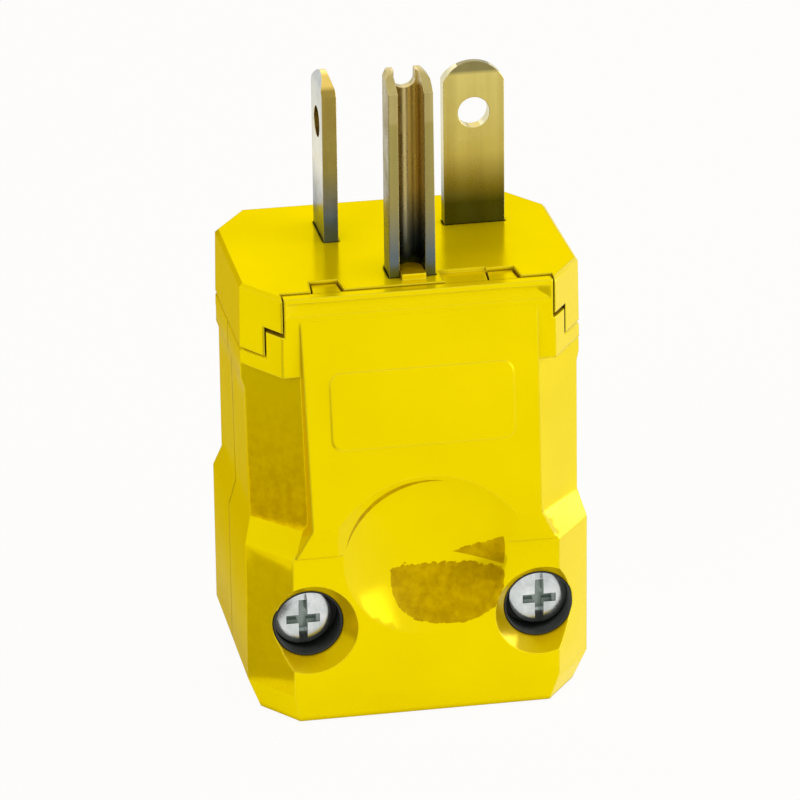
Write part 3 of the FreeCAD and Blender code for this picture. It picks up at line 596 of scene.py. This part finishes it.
# Screw relief: a dome over the head and a thread round the shank, for screws along Y that stand
# at Axis X on both sides. Height is in metres, and Cross is 1 in the cross below the slot's floor.
thread_foot = 1.6 * MM
cross_reach = 1.6 * MM
slot_floor = screw_low.y + 0.95 * MM
head_back = screw_low.y + 1.65 * MM
screw_relief, given, wanted = new_group(
    "screw relief",
    [("Axis X", screw_axis.x), ("Axis Z", screw_axis.z), ("Shank radius", 1.77 * MM),
     ("Pitch", 0.8 * MM), ("Dome radius", 11.0 * MM)],
    [("Height", "NodeSocketFloat"), ("Normal", "NodeSocketVector"), ("Cross", "NodeSocketFloat")],
)
links = screw_relief.links
place = node_of(screw_relief, "ShaderNodeTexCoord")
split = node_of(screw_relief, "ShaderNodeSeparateXYZ")
links.new(place.outputs["Object"], split.inputs["Vector"])
x, y, z = (split.outputs[axis] for axis in "XYZ")
across = steps(screw_relief, ("ABSOLUTE", x), ("SUBTRACT", "last", given.outputs["Axis X"]))
above = steps(screw_relief, ("SUBTRACT", z, given.outputs["Axis Z"]))
radius = steps(
    screw_relief, ("MULTIPLY", above, above), ("MULTIPLY_ADD", across, across, "last"),
    ("SQRT", "last"),
)
turn = steps(screw_relief, ("ARCTAN2", above, across), ("DIVIDE", "last", math.tau))
ridge = steps(
    screw_relief, ("DIVIDE", y, given.outputs["Pitch"]), ("ADD", "last", turn),
    ("PINGPONG", "last", 0.5), ("MULTIPLY", "last", given.outputs["Pitch"]),
)
within = steps(screw_relief, ("LESS_THAN", radius, given.outputs["Shank radius"]))
on_shank = steps(
    screw_relief, ("GREATER_THAN", radius, thread_foot), ("MULTIPLY", "last", within),
)
thread = steps(
    screw_relief, ("GREATER_THAN", y, 0.0), ("MULTIPLY", "last", on_shank),
    ("MULTIPLY", "last", ridge),
)
links.new(thread, wanted.inputs["Height"])

below_slot = steps(screw_relief, ("GREATER_THAN", y, slot_floor))
in_head = steps(screw_relief, ("LESS_THAN", y, head_back))
cross = steps(
    screw_relief, ("LESS_THAN", radius, cross_reach), ("MULTIPLY", "last", in_head),
    ("MULTIPLY", "last", below_slot),
)
links.new(cross, wanted.inputs["Cross"])

# On the head's front the normal leans outwards as on a dome, and elsewhere it stays.
side = steps(
    screw_relief, ("SIGN", x), ("MULTIPLY", "last", across),
    ("DIVIDE", "last", given.outputs["Dome radius"]),
)
rise = steps(screw_relief, ("DIVIDE", above, given.outputs["Dome radius"]))
lean = node_of(screw_relief, "ShaderNodeCombineXYZ", {"Y": -1.0})
domed = node_of(screw_relief, "ShaderNodeVectorMath", operation="NORMALIZE")
facing = node_of(screw_relief, "ShaderNodeNewGeometry")
normal = node_of(screw_relief, "ShaderNodeSeparateXYZ")
edge = use_group(screw_relief, rounded_edge, Radius=0.12 * MM)
choose = node_of(screw_relief, "ShaderNodeMix", data_type="VECTOR")
links.new(side, lean.inputs["X"])
links.new(rise, lean.inputs["Z"])
links.new(lean.outputs["Vector"], domed.inputs[0])
links.new(facing.outputs["True Normal"], normal.inputs["Vector"])
front = steps(
    screw_relief, ("LESS_THAN", normal.outputs["Y"], -0.5), ("MULTIPLY", "last", in_head),
)
links.new(front, choose.inputs["Factor"])
links.new(edge.outputs["Normal"], choose.inputs[4])
links.new(domed.outputs["Vector"], choose.inputs[5])
links.new(choose.outputs[1], wanted.inputs["Normal"])


def plated_metal(name, dark, light, edge_colour, roughness, dome=True):
    """Stained metal, edges lightened by wear, painted shade in creases and the cross. Dome adds the
    assembly screws' relief.
    """
    material, tree, shader = new_material(name, metallic=1.0)
    edge = use_group(tree, rounded_edge, Radius=0.15 * MM)
    rolled = use_group(tree, rolled_metal, Stretch=1.0, Lines_per_metre=2600.0)
    relief = use_group(tree, screw_relief)
    seam = use_group(tree, crease, Reach=0.7 * MM)
    plating = blend(tree, rolled.outputs["Stain"], dark, light)
    edge_lightened = blend(tree, remap(tree, edge.outputs["Edge"], 0.0, 0.6), plating, edge_colour)
    # Painted shade in creases and in the screw heads' cross.
    crease_shade = steps(
        tree, ("MULTIPLY", seam.outputs["Crease"], 0.35),
        ("MAXIMUM", "last", relief.outputs["Cross"]), ("MULTIPLY", "last", 0.85),
    )
    crease_shaded = blend(tree, crease_shade, edge_lightened, (0.15, 0.19, 0.16))
    spread = remap(tree, rolled.outputs["Stain"], roughness - 0.05, roughness + 0.05)
    tree.links.new(crease_shaded, shader.inputs["Base Color"])
    tree.links.new(spread, shader.inputs["Roughness"])
    if dome:
        height = steps(
            tree, ("MULTIPLY_ADD", rolled.outputs["Height"], 0.004 * MM, relief.outputs["Height"]),
        )
        bumped(tree, shader, height, relief, 1.0, 1.0)
    else:
        bumped(tree, shader, rolled.outputs["Height"], edge, 0.15, 0.02 * MM)
    return material


nickel = plated_metal(
    "screw nickel", (0.52, 0.56, 0.55), (0.80, 0.82, 0.81), (0.92, 0.93, 0.92), 0.2,
)
for side in ("left", "right"):
    screw = "assembly_screw_" + side
    stand_for(merged_copy(screw, screw + "_nickel"), screw, nickel)


# Screw retainers: black moulded cups. They are pushed into the recesses of the front cover, line
# them round the heads and keep the screws in the cover.
rubber, tree, shader = new_material("black rubber")
edge = use_group(tree, rounded_edge, Radius=0.1 * MM)
grain = use_group(tree, moulded_grain, Wave_height=0.3)
black = blend(tree, grain.outputs["Tone"], (0.003, 0.006, 0.005), (0.014, 0.018, 0.017))
edge_lightened = blend(tree, edge.outputs["Edge"], black, (0.035, 0.04, 0.038))
tree.links.new(edge_lightened, shader.inputs["Base Color"])
tree.links.new(remap(tree, grain.outputs["Gloss"], 0.4, 0.6), shader.inputs["Roughness"])
bumped(tree, shader, grain.outputs["Height"], edge, 0.3, 0.05 * MM)
for side in ("left", "right"):
    retainer = "screw_retainer_" + side
    stand_for(merged_copy(retainer, retainer + "_black"), retainer, rubber)


# Steel inside: pressed wire clamps, captive nuts and the carrier's screws, zinc-plated with a
# cloudy bluish skin. The clamps lie under the terminal screws, and the nuts fill their pockets.
zinc = plated_metal(
    "zinc plate", (0.42, 0.44, 0.46), (0.62, 0.62, 0.58), (0.75, 0.75, 0.72), 0.34, dome=False,
)
for name in ("line_wire_clamp", "neutral_wire_clamp", "ground_wire_clamp", "captive_nut_left",
             "captive_nut_right", "carrier_screw_left", "carrier_screw_right"):
    stand_for(merged_copy(name, name + "_zinc"), name, zinc)


# Terminal screws: one metal each, so that the wires aren't swapped. The line's is brass, the
# neutral's is silvery and the ground's is green.
terminals = {
    "line": ("terminal_brass", (0.50, 0.36, 0.12), (0.72, 0.55, 0.22), (0.90, 0.74, 0.38)),
    "neutral": ("screw_nickel", (0.55, 0.56, 0.54), (0.78, 0.78, 0.75), (0.90, 0.90, 0.88)),
    "ground": ("ground_green", (0.01, 0.13, 0.04), (0.03, 0.30, 0.09), (0.35, 0.48, 0.30)),
}
for terminal, (slot, dark, light, edge_colour) in terminals.items():
    name = terminal + "_terminal_screw"
    metal = plated_metal(terminal + " screw", dark, light, edge_colour, 0.26, dome=False)
    stand_for(merged_copy(name, name + "_metal"), name, metal)


# Moulded inner parts: the carrier that keeps the terminals apart is pale thermoset, and the two
# cord grips with their toothed beds are dark glass-filled nylon.
def matt_plastic(name, dark, light, edge_colour, roughness):
    """Moulded plastic with a dull, finely pitted skin and paler edges."""
    material, tree, shader = new_material(name)
    edge = use_group(tree, rounded_edge, Radius=0.2 * MM)
    grain = use_group(tree, moulded_grain, Pits_per_metre=6000.0, Wave_height=0.4)
    skin = blend(tree, grain.outputs["Tone"], dark, light)
    edge_lightened = blend(tree, remap(tree, edge.outputs["Edge"], 0.0, 0.5), skin, edge_colour)
    spread = remap(tree, grain.outputs["Gloss"], roughness - 0.06, roughness + 0.08)
    tree.links.new(edge_lightened, shader.inputs["Base Color"])
    tree.links.new(spread, shader.inputs["Roughness"])
    bumped(tree, shader, grain.outputs["Height"], edge, 0.5, 0.06 * MM)
    return material


thermoset = matt_plastic(
    "pale thermoset", (0.50, 0.47, 0.38), (0.62, 0.59, 0.50), (0.70, 0.67, 0.58), 0.55,
)
filled_nylon = matt_plastic(
    "dark filled nylon", (0.022, 0.022, 0.024), (0.045, 0.045, 0.047), (0.09, 0.09, 0.09), 0.6,
)
carrier = merged_copy("terminal_carrier", "terminal_carrier_body")
stand_for(carrier, "terminal_carrier", thermoset)
for name in ("front_cord_grip", "rear_cord_grip"):
    stand_for(merged_copy(name, name + "_body"), name, filled_nylon)


# Table: a plain pale sheet under the plug. It is near white to the camera and in mirrors, and
# keeps a faint shadow of the plug.
reach = 1.5
below_plug = -0.2 * MM
sheet = bpy.data.meshes.new("table")
corners = [(-reach, -reach, 0), (reach, -reach, 0), (reach, reach, 0), (-reach, reach, 0)]
sheet.from_pydata(corners, [], [(0, 1, 2, 3)])
table = bpy.data.objects.new("table", sheet)
bpy.context.scene.collection.objects.link(table)
table.location.z = below_plug
paper, tree, shader = new_material("white paper", roughness=0.9)
shader.inputs["Base Color"].default_value = (0.9, 0.9, 0.9, 1)
white = node_of(tree, "ShaderNodeEmission", {"Color": (1, 1, 1, 1), "Strength": 1.0})
path = node_of(tree, "ShaderNodeLightPath")
looked_at = steps(
    tree, ("MAXIMUM", path.outputs["Is Camera Ray"], path.outputs["Is Glossy Ray"]),
    ("MAXIMUM", "last", path.outputs["Is Transmission Ray"]), ("MULTIPLY", "last", 0.94),
)
surface = node_of(tree, "ShaderNodeMixShader")
tree.links.new(looked_at, surface.inputs["Fac"])
tree.links.new(shader.outputs["BSDF"], surface.inputs[1])
tree.links.new(white.outputs["Emission"], surface.inputs[2])
tree.links.new(surface.outputs["Shader"], tree.nodes["Material Output"].inputs["Surface"])
sheet.materials.append(paper)


# Table edge: a dark strip on the table at the left, for the plug's left faces to mirror. Only
# mirror rays see it.
edge_left = -0.5
edge_right = -22 * MM
edge_front = -0.4
dark, tree, shader = new_material("dark edge", roughness=0.9)
shader.inputs["Base Color"].default_value = (0.02, 0.018, 0.015, 1)
strip = bpy.data.meshes.new("table edge")
corners = [
    (edge_left, edge_front, 0), (edge_right, edge_front, 0), (edge_right, 0, 0), (edge_left, 0, 0),
]
strip.from_pydata(corners, [], [(0, 1, 2, 3)])
strip.materials.append(dark)
table_edge = bpy.data.objects.new("table edge", strip)
bpy.context.scene.collection.objects.link(table_edge)
table_edge.visible_camera = False
table_edge.visible_diffuse = False
table_edge.visible_shadow = False
table_edge.visible_transmission = False
table_edge.visible_volume_scatter = False


# Studio: a white room that lights softly, a large softbox low on the right, and smaller ones. The
# two in front light the plug without showing in its gloss.
world = bpy.data.worlds.new("studio")
bpy.context.scene.world = world
world.use_nodes = True
tree = world.node_tree
tree.nodes.clear()
out = node_of(tree, "ShaderNodeOutputWorld")
soft = node_of(tree, "ShaderNodeBackground", {"Color": (1.0, 0.8, 0.6, 1), "Strength": 0.6})
backdrop = node_of(tree, "ShaderNodeBackground", {"Color": (1, 1, 1, 1), "Strength": 1.0})
path = node_of(tree, "ShaderNodeLightPath")
seen = steps(
    tree, ("MAXIMUM", path.outputs["Is Camera Ray"], path.outputs["Is Glossy Ray"]),
    ("MAXIMUM", "last", path.outputs["Is Transmission Ray"]),
)
mix = node_of(tree, "ShaderNodeMixShader")
tree.links.new(seen, mix.inputs["Fac"])
tree.links.new(soft.outputs["Background"], mix.inputs[1])
tree.links.new(backdrop.outputs["Background"], mix.inputs[2])
tree.links.new(mix.outputs["Shader"], out.inputs["Surface"])
plug_middle = Vector((0, 0, 30 * MM))
lamp_distance = 0.7


def softbox(name, azimuth, elevation, size, watts, mirrored=True):
    """Lamp that faces the plug from an azimuth, measured from the front, and an elevation."""
    az = math.radians(azimuth)
    el = math.radians(elevation)
    away = Vector((math.sin(az) * math.cos(el), -math.cos(az) * math.cos(el), math.sin(el)))
    lamp = bpy.data.lights.new(name, "AREA")
    lamp.shape = "RECTANGLE"
    lamp.size, lamp.size_y = size
    lamp.energy = watts
    lamp.color = (1.0, 0.96, 0.9)
    holder = bpy.data.objects.new(name, lamp)
    bpy.context.scene.collection.objects.link(holder)
    holder.location = plug_middle + away * lamp_distance
    holder.rotation_euler = away.to_track_quat("Z", "Y").to_euler()
    holder.visible_glossy = mirrored


softbox("front", -5, 22, (0.4, 0.4), 0.2, mirrored=False)
softbox("front left", -46, 20, (0.4, 0.4), 1.1, mirrored=False)
softbox("low right", 70, 9, (1.0, 0.5), 2.6)
softbox("right", 95, 15, (0.4, 0.4), 1.0)
softbox("back", 180, 30, (0.5, 0.4), 0.35)


# Camera: a long lens at the photograph's angle, in front of the plug, a little to its left and
# above it.
azimuth = math.radians(-10.325)
elevation = math.radians(22.441)
roll = math.radians(-0.671)
flat = math.cos(elevation)
back = Vector((math.sin(azimuth) * flat, -math.cos(azimuth) * flat, math.sin(elevation)))
level = Vector((math.cos(azimuth), math.sin(azimuth), 0))
upright = back.cross(level)
right = level * math.cos(roll) + upright * math.sin(roll)
up = upright * math.cos(roll) - level * math.sin(roll)
target = Vector((0, 0, 25 * MM))
distance = 571.59 * MM
shift_right = 0.296 * MM
shift_up = 3.489 * MM
lens = bpy.data.cameras.new("camera")
lens.lens = 247.5
lens.sensor_width = 36
lens.clip_start = 0.01
camera = bpy.data.objects.new("camera", lens)
bpy.context.scene.collection.objects.link(camera)
eye = target + back * distance + right * shift_right + up * shift_up
camera.matrix_world = Matrix.Translation(eye) @ Matrix((right, up, back)).transposed().to_4x4()
bpy.context.scene.camera = camera
bpy.context.scene.view_settings.view_transform = "Standard"
